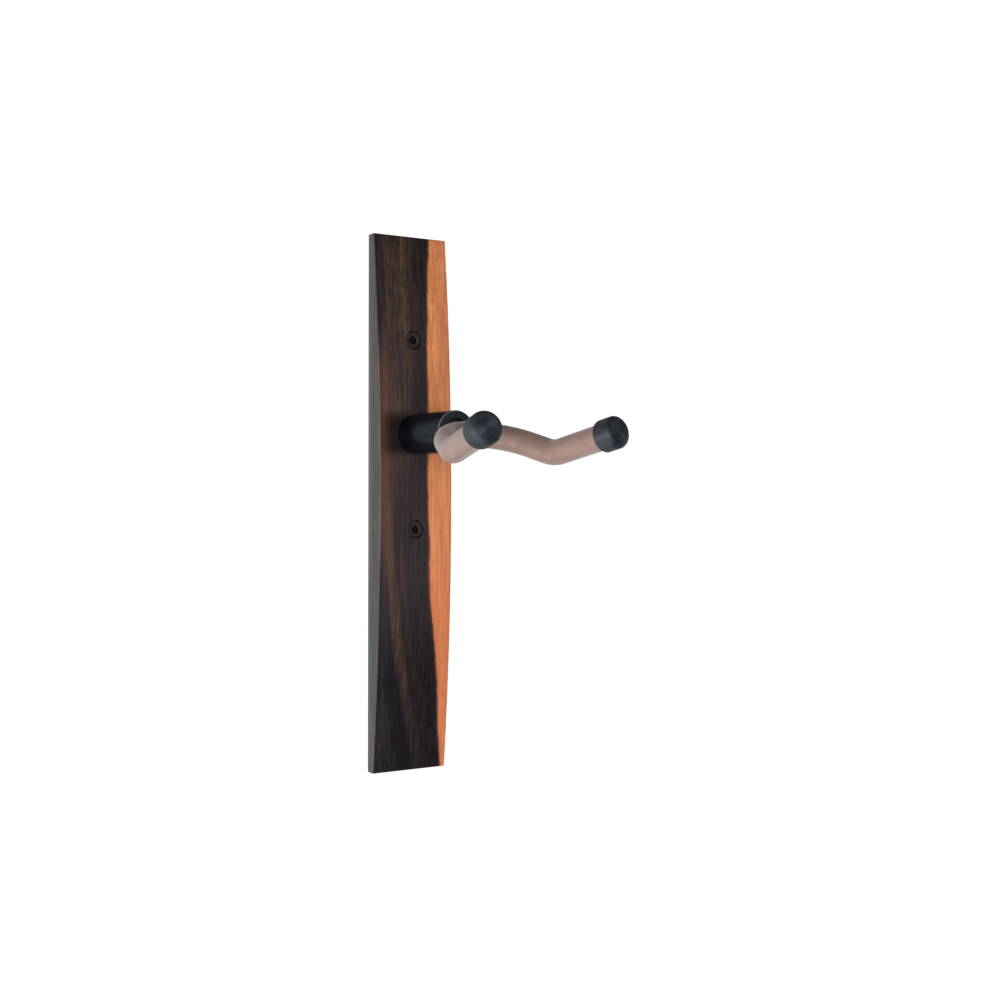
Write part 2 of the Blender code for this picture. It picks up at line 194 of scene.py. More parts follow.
class Shader(Nodes):
    """A new material's node tree, around its Principled shader."""

    def __init__(self, name):
        self.material = bpy.data.materials.new(name)
        self.material.use_nodes = True
        super().__init__(self.material.node_tree)
        self.principled = self.tree.nodes["Principled BSDF"]
        self.place = self.add("ShaderNodeTexCoord").outputs["Object"]

    def set(self, **values):
        """Set or link the shader's own sockets."""
        self.fill(self.principled, **values)

    def scaled(self, scale):
        node = self.add("ShaderNodeMapping")
        self.fill(node, Vector=self.place, Scale=scale)
        return node.outputs["Vector"]

    def place_mm(self):
        """The place on the object in millimetres, as x, y and z."""
        return self.split(self.scaled((1000, 1000, 1000)))

    def noise(self, size, detail=2.0, roughness=0.5, seed=0.0):
        """Noise whose features are about size millimetres long on each axis."""
        node = self.add("ShaderNodeTexNoise", noise_dimensions="4D")
        self.fill(node, Vector=self.scaled([1000 / length for length in size]), W=seed,
                  Scale=1.0, Detail=detail, Roughness=roughness)
        return node.outputs["Fac"]

    def ramp(self, value, stops):
        """A grey that changes along value, given as (position, grey) stops."""
        node = self.add("ShaderNodeValToRGB")
        elements = node.color_ramp.elements
        while len(elements) < len(stops):
            elements.new(0.5)
        for element, (position, grey) in zip(elements, stops):
            element.position = position
            element.color = (grey, grey, grey, 1.0)
        self.link(value, node.inputs[0])
        return node.outputs["Color"]

    def mix(self, factor, first, second):
        """A blend of two colours, from all of the first at 0 to all of the second at 1."""
        first, second = ((*colour, 1.0) if isinstance(colour, tuple) else colour
                         for colour in (first, second))
        node = self.add("ShaderNodeMix", data_type="RGBA")
        self.fill(node, Factor=factor, A=first, B=second)
        return node.outputs["Result"]

    def bump(self, height, depth, strength):
        """Relief, depth metres deep."""
        node = self.add("ShaderNodeBump")
        self.fill(node, Height=height, Distance=depth, Strength=strength)
        self.set(Normal=node.outputs["Normal"])


# ---------------------------------------------------------------- wood
# The board's front runs from x = -22.75 to 22.75 and from z = -150 to 150, in millimetres.

def wood_boundary(s, x, z):
    """How far a place lies on the sapwood's side of the boundary, with a feathered edge."""
    above = s.math("MAXIMUM", s.math("SUBTRACT", z, 60.0), 0.0)
    below = s.math("MAXIMUM", s.math("SUBTRACT", 20.0, z), 0.0)
    bow = s.math("ADD", s.product(above, above, 5.8e-4), s.product(below, below, 3.0e-4))
    bow = s.math("ADD", bow, s.remap(z, -40.0, -100.0, 0.0, 3.3, smooth=True))
    wander = s.remap(s.noise((12, 12, 30), 2, seed=1.0), 0.3, 0.7, -0.45, 0.45)
    feather = s.remap(s.noise((0.4, 0.4, 6), 3, 0.65, seed=2.0), 0.3, 0.7, -0.5, 0.5)
    straight = s.math("SUBTRACT", s.math("SUBTRACT", x, bow), 7.7)
    return s.math("ADD", s.math("ADD", straight, wander), feather)


def from_streak(s, across, z):
    """How far a place lies to the right of the middle of the brown streak, which drifts right."""
    drift = s.math("POWER", s.remap(z, 20.0, -144.0), 1.85)
    return s.math("SUBTRACT", across, s.math("MULTIPLY_ADD", drift, 24.0, -19.6))


def long_streak(s, z, offset, fine):
    """The drifting streak, strongest at mid-height, with a weak one beside it lower down."""
    streak = s.remap(s.math("ABSOLUTE", offset), 0.8, 5.5, 1.0, 0.0, smooth=True)
    beside = s.remap(s.away(offset, 7.5), 0.5, 3.5, 0.22, 0.0, smooth=True)
    beside = s.product(beside, s.remap(z, -10.0, -35.0))
    height = s.remap(z, -150.0, 150.0)
    strength = s.ramp(height, [(0.0, 0.06), (0.2, 0.30), (0.36, 0.64), (0.62, 0.66),
                               (0.72, 0.36), (1.0, 0.20)])
    streak = s.math("MAXIMUM", streak, beside)
    return s.product(streak, strength, s.remap(fine, 0.42, 0.58, 0.55, 1.45))


def wood_brownness(s, x, z, across, offset, fine):
    """How brown the heartwood is: the long streak and some broader zones."""
    upper = s.product(s.remap(across, 5.0, -6.0, smooth=True),
                      s.remap(z, -5.0, 45.0, 0.0, 0.36, smooth=True))
    column = s.product(s.remap(s.away(x, -6.0), 0.4, 2.6, 1.0, 0.0, smooth=True),
                       s.remap(z, 50.0, 90.0, 0.0, 0.62, smooth=True))
    low_left = s.product(s.remap(across, -15.0, -19.0, smooth=True),
                         s.remap(z, -85.0, -120.0, 0.0, 0.10, smooth=True))
    zones = s.math("MAXIMUM", s.math("MAXIMUM", upper, low_left), column)
    zones = s.product(zones, s.remap(fine, 0.42, 0.58, 0.30, 1.55))
    zones = s.math("MAXIMUM", zones, long_streak(s, z, offset, fine))
    rim = s.remap(z, 70.0, 140.0, -20.0, -16.5, smooth=True)
    inside = s.remap(s.math("SUBTRACT", across, rim), -1.5, 0.8, smooth=True)
    upward = s.remap(z, 20.0, 60.0)
    dimmed = s.math("MULTIPLY_ADD", s.math("SUBTRACT", inside, 1.0), upward, 1.0)
    patchy = s.remap(s.noise((2.2, 2.2, 60), 3, 0.6, seed=7.0), 0.36, 0.62, 0.65, 1.2)
    return s.product(s.product(zones, dimmed), patchy, clamp=True)


def heartwood(s, x, z, fine, lines, waist):
    """Near-black wood with brown streaks, ruddy down its left side and darkest at the bottom."""
    sway = s.remap(s.noise((12, 12, 70), 2, seed=4.0), 0.3, 0.7, -1.6, 1.6)
    across = s.math("ADD", x, sway)
    offset = from_streak(s, across, z)
    deep = s.remap(z, -50.0, -105.0, smooth=True)

    dusk = s.remap(s.noise((4.5, 4.5, 60), 3, seed=8.0), 0.38, 0.62)
    dark = s.mix(dusk, (0.0085, 0.0072, 0.0125), (0.0180, 0.0108, 0.0122))
    dark = s.mix(s.remap(z, 40.0, 100.0, 0.0, 0.8), dark, (0.0125, 0.0084, 0.0078))
    # painted sheen: paler around mid-height, where a broad reflection lies across the crowned face
    pale = s.remap(s.away(z, 15.0), 45.0, 125.0, 0.68, 0.0, smooth=True)
    dark = s.mix(pale, dark, (0.0300, 0.0215, 0.0265))
    dark = s.mix(s.product(deep, 0.9), dark, (0.0028, 0.0024, 0.0056))
    brown = wood_brownness(s, x, z, across, offset, fine)
    heart = s.mix(brown, dark, (0.113, 0.053, 0.030))

    ruddy = s.product(s.remap(x, -13.0, -19.5, 0.0, 0.62, smooth=True), waist,
                      s.remap(fine, 0.40, 0.60, 0.75, 1.25))
    heart = s.mix(ruddy, heart, (0.110, 0.040, 0.020))

    left_of_streak = s.remap(s.away(offset, -8.0), 2.5, 6.0, 0.75, 0.0, smooth=True)
    plain = s.product(deep, left_of_streak)
    pale_lines = s.product(lines, s.remap(deep, 0.0, 1.0, 0.34, 0.22),
                           s.math("SUBTRACT", 1.0, plain))
    return s.mix(pale_lines, heart, (0.078, 0.052, 0.043))


def sapwood(s, z, edge, lines):
    """Orange wood, redder at its top end, lower down and along the boundary."""
    blush = s.remap(s.noise((7, 7, 50), 3, seed=5.0), 0.38, 0.62)
    orange = s.mix(blush, (0.930, 0.385, 0.156), (0.790, 0.285, 0.116))
    orange = s.mix(s.product(lines, 0.75), orange, (0.560, 0.160, 0.056))
    orange = s.mix(s.remap(edge, 0.2, 2.0, 0.40, 0.0), orange, (0.36, 0.105, 0.040))
    reddened = s.math("ADD", s.remap(z, 134.0, 150.0, 0.0, 0.35, smooth=True),
                      s.remap(z, 30.0, -80.0, 0.0, 0.62, smooth=True))
    return s.mix(reddened, orange, (0.62, 0.170, 0.070))


def standoff_shade(s, x, z, pores, colour):
    """Painted shade: a shadow darkening the wood on the left of the standoff, dark red further
    out.
    """
    rise = s.away(z, AXIS_HEIGHT / MM)
    # painted shadow of the standoff, cast on the wood at its left
    shade = s.product(s.remap(rise, 7.0, 15.5, 1.0, 0.0, smooth=True), s.remap(x, 1.0, -8.0),
                      s.remap(x, -23.5, -14.5, 0.52, 1.0, smooth=True),
                      s.remap(pores, 0.0, 1.0, 0.92, 1.08), clamp=True)
    tone = s.mix(s.remap(x, -21.5, -15.0), (0.040, 0.0085, 0.0012), (0.0060, 0.0016, 0.0004))
    return s.mix(shade, colour, tone)


def board_side(s, x, y, grain, waist, colour):
    """The left side of the board, painted grey as a sheen over its dark wood, with its dark rim
    and a pale painted highlight line along its front edge.
    """
    rim = s.product(s.remap(x, -20.8, -21.8, 0.0, 0.75), s.math("SUBTRACT", 1.0, waist))
    colour = s.mix(rim, colour, (0.0030, 0.0028, 0.0034))
    # painted sheen: the side's grey, paler in a strip near its back edge, stands in for light
    # glancing off the dark wood
    grey = s.mix(s.remap(grain, 0.35, 0.65), (0.024, 0.0235, 0.024), (0.070, 0.069, 0.069))
    back_edge_sheen = s.product(s.remap(y, -4.4, -2.2, 0.0, 0.6), waist)
    grey = s.mix(back_edge_sheen, grey, (0.115, 0.108, 0.102))
    colour = s.mix(s.remap(x, -22.55, -22.72), colour, grey)
    # painted highlight: a pale line along the front edge, strongest at mid-height
    edge_highlight = s.product(s.remap(s.away(x, -22.45), 0.12, 0.27, 1.0, 0.0),
                           s.remap(y, -3.0, -5.0), s.remap(waist, 0.0, 1.0, 0.15, 0.90))
    return s.mix(edge_highlight, colour, (0.150, 0.108, 0.088))


def wood_material():
    """Near-black heartwood with brown streaks, and an orange sapwood edge."""
    s = Shader("wood")
    x, y, z = s.place_mm()
    grain = s.noise((0.6, 0.6, 26), 2, 0.5, seed=3.0)
    strands = s.noise((1.5, 1.5, 75), 3, 0.6, seed=9.0)
    fine = s.math("ADD", s.product(grain, 0.5), s.product(strands, 0.5))
    lines = s.remap(fine, 0.44, 0.60)
    waist = s.remap(s.away(z, 28.0), 40.0, 75.0, 1.0, 0.0, smooth=True)

    edge = wood_boundary(s, x, z)
    heart = heartwood(s, x, z, fine, lines, waist)
    heart = s.mix(s.remap(edge, -1.7, -0.3, 0.0, 0.42, smooth=True), heart, (0.19, 0.070, 0.042))
    colour = s.mix(s.remap(edge, -0.30, 0.35, smooth=True), heart, sapwood(s, z, edge, lines))
    pores = s.remap(s.noise((0.5, 0.5, 9), 2, 0.5, seed=6.0), 0.56, 0.68)
    pore_darkness = s.remap(edge, -0.4, 0.4, 0.70, 0.22)
    colour = s.mix(s.product(pores, pore_darkness), colour, (0.005, 0.003, 0.004))
    colour = standoff_shade(s, x, z, pores, colour)
    colour = board_side(s, x, y, grain, waist, colour)
    s.set(Base_Color=colour, Specular_IOR_Level=0.3)
    s.set(Roughness=s.remap(fine, 0.3, 0.7, 0.38, 0.52))
    s.bump(s.math("SUBTRACT", s.product(fine, 0.5), pores), 0.06 * MM, 0.6)
    return s.material


# ---------------------------------------------------------------- other materials

def black_metal_material():
    """Satin black coating on drawn metal: very fine lines run along the swivel's axis. Painted
    reflection lightens its front part and end face, and a painted highlight runs round its mouth.
    """
    s = Shader("black_metal")
    x, y, z = s.place_mm()
    mottle = s.noise((5, 5, 5), 3, seed=1.0)
    drawn = s.remap(s.noise((0.7, 24, 0.7), 3, 0.6, seed=3.0), 0.42, 0.60)
    drawn = s.product(drawn, s.remap(y, -22.0, -38.0, 0.1, 1.0, smooth=True))
    coat_and_painted_light = s.mix(mottle, (0.0003, 0.0010, 0.0020), (0.0006, 0.0016, 0.0032))
    # painted reflection: the tube gets lighter towards its front, where it reflects the bright
    # room past the board
    coat_and_painted_light = s.mix(s.remap(y, -26.0, -40.0, smooth=True), coat_and_painted_light, (0.0022, 0.0034, 0.0050))
    # the drawn lines are real; their paler colour, fading out towards the base, is painted
    # reflection
    coat_and_painted_light = s.mix(s.product(drawn, 0.8), coat_and_painted_light, (0.0100, 0.0160, 0.0240))
    # painted reflection: the front end face is coloured lighter, as if lit
    end_face_reflection = s.remap(y, -58.3, -58.9)
    coat_and_painted_light = s.mix(end_face_reflection, coat_and_painted_light, (0.0240, 0.0265, 0.0340))
    from_axis = s.length(x, s.math("SUBTRACT", z, AXIS_HEIGHT / MM))
    # painted highlight: a pale line round the outer edge of the mouth
    rim_highlight = s.product(end_face_reflection, s.remap(from_axis, 10.6, 10.9))
    s.set(Base_Color=s.mix(rim_highlight, coat_and_painted_light, (0.1300, 0.1420, 0.1600)), Specular_IOR_Level=0.10)
    s.set(Roughness=s.remap(y, -22.0, -42.0, 0.14, 0.34, smooth=True),
          Specular_Tint=(0.66, 0.82, 1.0, 1.0))
    s.bump(drawn, 0.02 * MM, 0.5)
    return s.material


def steel_material(name, dark, light, rough_low, rough_high):
    """Plated steel with fine turning marks and slight tarnish."""
    s = Shader(name)
    tarnish = s.remap(s.noise((3, 3, 3), 4, 0.6, seed=1.0), 0.35, 0.65)
    s.set(Base_Color=s.mix(tarnish, dark, light), Metallic=0.9)
    s.set(Roughness=s.remap(s.noise((0.8, 0.25, 0.8), 3, seed=2.0), 0.3, 0.7, rough_low,
                            rough_high))
    s.bump(s.noise((1.2, 0.12, 1.2), 2, seed=3.0), 0.01 * MM, 0.4)
    return s.material


def screw_material():
    """Browned steel, dull on the heads, with painted shade making their hexagon sockets nearly
    black.
    """
    s = Shader("dark_screw")
    x, _, z = s.place_mm()
    rise = s.math("SUBTRACT", s.away(z, AXIS_HEIGHT / MM), SCREW_SPACING / MM)
    # painted shade: the hexagon sockets are coloured nearly black
    socket = s.remap(s.length(x, rise), 2.42, 2.30)
    tarnish = s.remap(s.noise((1.2, 1.2, 1.2), 4, 0.6, seed=1.0), 0.38, 0.64)
    head = s.mix(tarnish, (0.0200, 0.0142, 0.0148), (0.0400, 0.0280, 0.0278))
    s.set(Base_Color=s.mix(socket, head, (0.0015, 0.0012, 0.0014)), Specular_IOR_Level=0.3)
    s.set(Roughness=s.remap(tarnish, 0.0, 1.0, 0.45, 0.6))
    s.bump(s.noise((0.7, 0.7, 0.7), 2, seed=3.0), 0.02 * MM, 0.5)
    return s.material


def nylon_material(name, dark, light):
    """Moulded nylon with a faint grain."""
    s = Shader(name)
    s.set(Base_Color=s.mix(s.noise((2, 2, 2), 3, seed=1.0), dark, light))
    s.set(Roughness=s.remap(s.noise((0.6, 0.6, 0.6), 2, seed=2.0), 0.3, 0.7, 0.45, 0.6))
    s.bump(s.noise((0.2, 0.2, 0.2), 2, seed=3.0), 0.01 * MM, 0.4)
    return s.material


def sleeve_material():
    """Matt taupe covering, soft to the touch, with a fine leathery skin."""
    s = Shader("sleeve")
    cloud = s.remap(s.noise((6, 6, 6), 3, 0.6, seed=1.0), 0.36, 0.64)
    colour = s.mix(cloud, (0.222, 0.140, 0.112), (0.277, 0.181, 0.149))
    speck = s.remap(s.noise((0.5, 0.5, 0.5), 3, 0.6, seed=2.0), 0.45, 0.75)
    colour = s.mix(s.product(speck, 0.22), colour, (0.21, 0.130, 0.106))
    s.set(Base_Color=colour, Sheen_Weight=0.25, Sheen_Roughness=0.45)
    s.set(Roughness=s.remap(speck, 0.0, 1.0, 0.42, 0.58), Specular_IOR_Level=0.42)
    skin = s.math("ADD", s.noise((0.32, 0.32, 0.32), 3, 0.6, seed=3.0),
                  s.product(s.noise((2.5, 2.5, 2.5), 2, seed=4.0), 0.8))
    s.bump(skin, 0.05 * MM, 0.5)
    return s.material


def cap_material():
    """Charcoal moulded rubber, slightly dusty in patches."""
    s = Shader("cap")
    dust = s.remap(s.noise((2.2, 2.2, 2.2), 4, 0.6, seed=1.0), 0.38, 0.68)
    s.set(Base_Color=s.mix(dust, (0.0095, 0.0134, 0.0186), (0.0178, 0.0234, 0.0302)),
          Specular_Tint=(0.88, 0.95, 1.0, 1.0))
    s.set(Roughness=s.remap(dust, 0.0, 1.0, 0.38, 0.54), Specular_IOR_Level=0.5)
    s.bump(s.noise((0.22, 0.22, 0.22), 2, 0.6, seed=3.0), 0.03 * MM, 0.5)
    return s.material


# ---------------------------------------------------------------- mesh tools

def finish_mesh(name, bm, material, body, node):
    """Turn a bmesh into a shown piece that rides on a body and stands for a CAD node."""
    piece = plain_object(name, bm)
    piece.data.materials.append(material)
    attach(piece, body)
    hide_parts(node)
    return piece


def plain_object(name, bm):
    bmesh.ops.remove_doubles(bm, verts=bm.verts, dist=0.001 * MM)
    bmesh.ops.recalc_face_normals(bm, faces=bm.faces)
    mesh = bpy.data.meshes.new(name)
    bm.to_mesh(mesh)
    bm.free()
    mesh.shade_smooth()
    mesh.set_sharp_from_angle(angle=SHARP_ANGLE)
    obj = bpy.data.objects.new(name, mesh)
    bpy.context.scene.collection.objects.link(obj)
    return obj


def cut(obj, bm):
    """Cut a closed bmesh out of an object for good, and leave no cutter behind."""
    cutter = plain_object("cutter", bm)
    modifier = obj.modifiers.new("cut", "BOOLEAN")
    modifier.object = cutter
    graph = bpy.context.evaluated_depsgraph_get()
    mesh = bpy.data.meshes.new_from_object(obj.evaluated_get(graph))
    obj.modifiers.clear()
    obj.data = mesh
    mesh.set_sharp_from_angle(angle=SHARP_ANGLE)
    bpy.data.objects.remove(cutter, do_unlink=True)


def turned(profile, steps=96, closed=False, height=0.0):
    """Spin (radius, y) points about the line along Y at a height."""
    bm = bmesh.new()
    points = [bm.verts.new((radius, y, height)) for radius, y in profile]
    pairs = list(zip(points, points[1:]))
    if closed:
        pairs.append((points[-1], points[0]))
    edges = [bm.edges.new(pair) for pair in pairs]
    bmesh.ops.spin(bm, geom=points + edges, cent=(0, 0, height), axis=(0, 1, 0),
                   angle=2 * math.pi, steps=steps, use_merge=True)
    bmesh.ops.remove_doubles(bm, verts=bm.verts, dist=0.0005 * MM)
    return bm


def arc_points(centre, radius, start, end, steps):
    """Points of an arc in a (radius, y) profile, with angles in degrees from the +radius side."""
    angles = [math.radians(start + (end - start) * i / steps) for i in range(steps + 1)]
    return [(centre[0] + radius * math.cos(a), centre[1] + radius * math.sin(a)) for a in angles]


def extrude(bm, face, offset):
    """Sweep a face along an offset into a closed solid."""
    swept_parts = bmesh.ops.extrude_face_region(bm, geom=[face])["geom"]
    moved = [item for item in swept_parts if isinstance(item, bmesh.types.BMVert)]
    bmesh.ops.translate(bm, verts=moved, vec=offset)


def hexagon_prism(across_flats, y_low, y_high, height):
    """A hexagonal prism along Y at a height."""
    corner = across_flats / 2 / math.cos(math.pi / 6)
    angles = [math.pi / 3 * i for i in range(6)]
    bm = bmesh.new()
    end = bm.faces.new([bm.verts.new((corner * math.cos(a), y_low, height + corner * math.sin(a)))
                        for a in angles])
    extrude(bm, end, (0, y_high - y_low, 0))
    return bm


def bridge_rings(bm, rings):
    for ring, following in zip(rings, rings[1:]):
        for i in range(len(ring)):
            j = (i + 1) % len(ring)
            bm.faces.new((ring[i], ring[j], following[j], following[i]))


def close_ends(bm, rings):
    bm.faces.new(rings[0])
    bm.faces.new(rings[-1])


# ---------------------------------------------------------------- board

def board_thickness(z):
    """Thickness of the board at height z: an arc between its middle and its ends."""
    middle = -BOARD_LOW.y
    rise = middle - BOARD_END_THICKNESS
    half = BOARD_HIGH.z
    crown_radius = (half * half + rise * rise) / (2 * rise)
    return middle - crown_radius + math.sqrt(crown_radius ** 2 - z * z)


def board_body():
    bm = bmesh.new()
    low, high = BOARD_LOW.z, BOARD_HIGH.z
    heights = [low + (high - low) * i / (BOARD_STATIONS - 1) for i in range(BOARD_STATIONS)]
    outline = [(0.0, high), (0.0, low)] + [(-board_thickness(z), z) for z in heights]
    side = bm.faces.new([bm.verts.new((BOARD_LOW.x, y, z)) for y, z in outline])
    extrude(bm, side, (BOARD_HIGH.x - BOARD_LOW.x, 0, 0))
    bmesh.ops.recalc_face_normals(bm, faces=bm.faces)
    sharp = [edge for edge in bm.edges if edge.calc_face_angle() > SHARP_ANGLE]
    bmesh.ops.bevel(bm, geom=sharp, offset=BOARD_EDGE, segments=3, profile=0.5,
                    affect="EDGES")
    return bm


def screw_top(rise):
    """Where the top of a wall screw's head lies, sunk below the board's face."""
    return -board_thickness(AXIS_HEIGHT + rise) + SCREW_RECESS


def make_board(material):
    board = finish_mesh("board", board_body(), material, "base", "backplate")
    before = BOARD_LOW.y - CLEAR
    seat = TUBE_HIGH.y + PLAY
    seat_radius = TUBE_HIGH.x + 0.12 * MM
    fixing = [(0, CLEAR), (RECESS_RADIUS, CLEAR), (RECESS_RADIUS, RECESS_FLOOR),
              (BOLT_HOLE, RECESS_FLOOR), (BOLT_HOLE, seat), (seat_radius, seat),
              (seat_radius, before), (0, before)]
    cut(board, turned(fixing, height=AXIS_HEIGHT))
    easing = 0.12 * MM
    flare = 2 * MM
    for rise in (SCREW_SPACING, -SCREW_SPACING):
        height = AXIS_HEIGHT + rise
        face = -board_thickness(height)
        floor = screw_top(rise) + SCREW_HEAD_HEIGHT + PLAY
        hole = [(0, CLEAR), (SCREW_HOLE, CLEAR), (SCREW_HOLE, floor), (COUNTERBORE, floor),
                (COUNTERBORE, face + easing), (COUNTERBORE + easing + flare, face - flare),
                (0, face - flare)]
        cut(board, turned(hole, 64, height=height))


# ---------------------------------------------------------------- fasteners

def threaded_shank(outer, core, start, end, pitch, point):
    """A closed screw shank along Y with a real helical thread that runs out at its tip."""
    sides = 28
    per_turn = 10
    crest_width = 0.26
    rows = int((end - start) / pitch * per_turn)
    bm = bmesh.new()
    rings = []
    for row in range(rows + 1):
        y = start + (end - start) * row / rows
        taper = min(1.0, max(0.04, (end - y) / point))
        ring = []
        for i in range(sides):
            angle = 2 * math.pi * i / sides
            phase = ((y - start) / pitch - i / sides) % 1.0
            crest = max(0.0, 1.0 - abs(phase - 0.5) / crest_width)
            radius = (core + (outer - core) * crest) * taper
            ring.append(bm.verts.new((radius * math.cos(angle), y, radius * math.sin(angle))))
        rings.append(ring)
    bridge_rings(bm, rings)
    close_ends(bm, rings)
    return bm


def make_wall_screw(name, rise, material):
    """A cheese-head wood screw with a hexagon socket."""
    node = f"{name}_wall_screw"
    height = AXIS_HEIGHT + rise
    top = screw_top(rise)
    seat = top + SCREW_HEAD_HEIGHT
    easing = 0.15 * MM
    edge = 0.3 * MM
    dish = 2.55 * MM
    dish_floor = 2.2 * MM
    dish_depth = 0.3 * MM
    profile = [(0, seat), (SCREW_HEAD_RADIUS - easing, seat), (SCREW_HEAD_RADIUS, seat - easing)]
    profile += arc_points((SCREW_HEAD_RADIUS - edge, top + edge), edge, 0, -90, 6)
    profile += [(dish, top), (dish_floor, top + dish_depth), (0, top + dish_depth)]
    head = finish_mesh(f"{name}_screw_head", turned(profile, 64, height=height), material,
                       "base", node)
    cut(head, hexagon_prism(SCREW_SOCKET, top - CLEAR, top + SCREW_SOCKET_DEPTH, height))
    shank = threaded_shank(outer=2.3 * MM, core=1.5 * MM, start=seat + SHANK_GAP,
                           end=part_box(node)[1].y, pitch=2.2 * MM, point=6.0 * MM)
    bmesh.ops.translate(shank, verts=shank.verts, vec=(0, 0, height))
    finish_mesh(f"{name}_screw_shank", shank, material, "base", node)


def knurl(bm, radius, depth):
    """Press rounded grooves into the rim of a turned part on the swivel's axis."""
    for vertex in bm.verts:
        offset = Vector((vertex.co.x, 0, vertex.co.z - AXIS_HEIGHT))
        if offset.length > radius - PLAY:
            angle = math.atan2(offset.z, offset.x)
            groove = depth * (0.5 - 0.5 * math.cos(KNURLS * angle))
            offset *= (radius - groove) / offset.length
            vertex.co.x, vertex.co.z = offset.x, AXIS_HEIGHT + offset.z


def make_mounting_bolt(material):
    """The socket cap bolt behind the board, with a knurled rim."""
    low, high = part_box("mounting_bolt")
    under = high.y - BOLT_HEAD_HEIGHT
    radius = BOLT_HEAD_RADIUS
    profile = [(0.0, under), (radius - 0.2 * MM, under), (radius, under + 0.3 * MM),
               (radius, high.y - 0.7 * MM), (radius - 0.6 * MM, high.y), (0.0, high.y)]
    bm = turned(profile, KNURLS * 4, height=AXIS_HEIGHT)
    knurl(bm, radius, 0.16 * MM)
    head = finish_mesh("mounting_bolt_head", bm, material, "base", "mounting_bolt")
    cut(head, hexagon_prism(BOLT_SOCKET, high.y - BOLT_SOCKET_DEPTH, high.y + CLEAR,
                            AXIS_HEIGHT))
    shank = threaded_shank(outer=2.9 * MM, core=2.45 * MM, start=SHANK_GAP - under, end=-low.y,
                           pitch=1.0 * MM, point=0.6 * MM)
    bmesh.ops.scale(shank, verts=shank.verts, vec=(1, -1, 1))
    bmesh.ops.translate(shank, verts=shank.verts, vec=(0, 0, AXIS_HEIGHT))
    finish_mesh("mounting_bolt_shank", shank, material, "base", "mounting_bolt")


# ---------------------------------------------------------------- standoff and hub

def make_tube(material):
    """The standoff, with rounded rims at its mouth."""
    outer = TUBE_HIGH.x
    rim = 0.6 * MM
    profile = [(outer, TUBE_HIGH.y)]
    profile += arc_points((outer - rim, TUBE_LOW.y + rim), rim, 0, -90, 6)
    profile += arc_points((TUBE_BORE + rim, TUBE_LOW.y + rim), rim, -90, -180, 6)
    profile += [(TUBE_BORE, TUBE_HIGH.y)]
    finish_mesh("tube", turned(profile, 144, closed=True, height=AXIS_HEIGHT), material, "base",
                "standoff_tube")


def make_hub(material):
    """The boss between the spindle and the rod, with a rolled weld bead at its front."""
    low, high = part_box("hub")
    outer = high.x
    rim = 0.5 * MM
    bead = 0.55 * MM
    bore = 4.3 * MM
    profile = arc_points((outer - rim, high.y - rim), rim, 90, 0, 5)
    profile += arc_points((outer - 0.15 * MM, HUB_FRONT), bead, 60, -60, 6)
    profile += [(outer - 0.3 * MM, low.y), (bore, low.y), (bore, high.y)]
    hub = finish_mesh("hub_boss", turned(profile, closed=True, height=AXIS_HEIGHT), material,
                      "yoke", "hub")
    half_steps = BACK_STEPS // 2
    line = arm_line(-1, 0)[half_steps:0:-1] + arm_line(1, 0)[:half_steps + 1]
    cut(hub, swept(line, line_tangents(line), ROD_RADIUS + 0.3 * MM, 48))


# ---------------------------------------------------------------- yoke

def bend_points(before, corner, after, radius, steps):
    """The rounded corner of a centre line, as points on an arc tangent to both of its sides."""
    side_in = (before - corner).normalized()
    side_out = (after - corner).normalized()
    half_angle = side_in.angle(side_out) / 2
    middle = corner + (side_in + side_out).normalized() * radius / math.sin(half_angle)
    spoke_in = corner + side_in * radius / math.tan(half_angle) - middle
    spoke_out = corner + side_out * radius / math.tan(half_angle) - middle
    turn = math.pi - 2 * half_angle
    points = []
    for i in range(steps + 1):
        angle = turn * i / steps
        weight_in = math.sin(turn - angle) / math.sin(turn)
        weight_out = math.sin(angle) / math.sin(turn)
        points.append(middle + spoke_in * weight_in + spoke_out * weight_out)
    return points


def even_points(start, end, count):
    """Points between two places on a straight run, without the places themselves."""
    return [start.lerp(end, i / (count + 1)) for i in range(1, count + 1)]


def arm_line(side, end_inset):
    """Centre line of one arm, from the middle of the yoke to end_inset short of its tip."""
    mirror = Vector((-1, 1, 1))
    back = bend_points(YOKE_ELBOW * mirror, YOKE_APEX, YOKE_ELBOW, BACK_BEND_RADIUS,
                       2 * BACK_STEPS)
    elbow = bend_points(YOKE_APEX, YOKE_ELBOW, YOKE_TIP, ELBOW_BEND_RADIUS, 16)
    end = YOKE_TIP - (YOKE_TIP - YOKE_ELBOW).normalized() * end_inset
    points = back[BACK_STEPS:] + even_points(back[-1], elbow[0], 5)
    points += elbow + even_points(elbow[-1], end, 12) + [end]
    return [Vector((side * point.x, point.y, point.z)) for point in points]


def line_tangents(points):
    last = len(points) - 1
    return [(points[min(i + 1, last)] - points[max(i - 1, 0)]).normalized()
            for i in range(last + 1)]


def add_ring(bm, centre, tangent, radius, sides):
    across = tangent.cross(Vector((0, 0, 1))).normalized()
    upward = across.cross(tangent)
    angles = [2 * math.pi * i / sides for i in range(sides)]
    return [bm.verts.new(centre + radius * (math.cos(a) * across + math.sin(a) * upward))
            for a in angles]


def add_rings(bm, points, tangents, radius, sides):
    return [add_ring(bm, point, tangent, radius, sides)
            for point, tangent in zip(points, tangents)]


def swept(points, tangents, radius, sides):
    """A closed round rod along a line."""
    bm = bmesh.new()
    rings = add_rings(bm, points, tangents, radius, sides)
    bridge_rings(bm, rings)
    close_ends(bm, rings)
    return bm


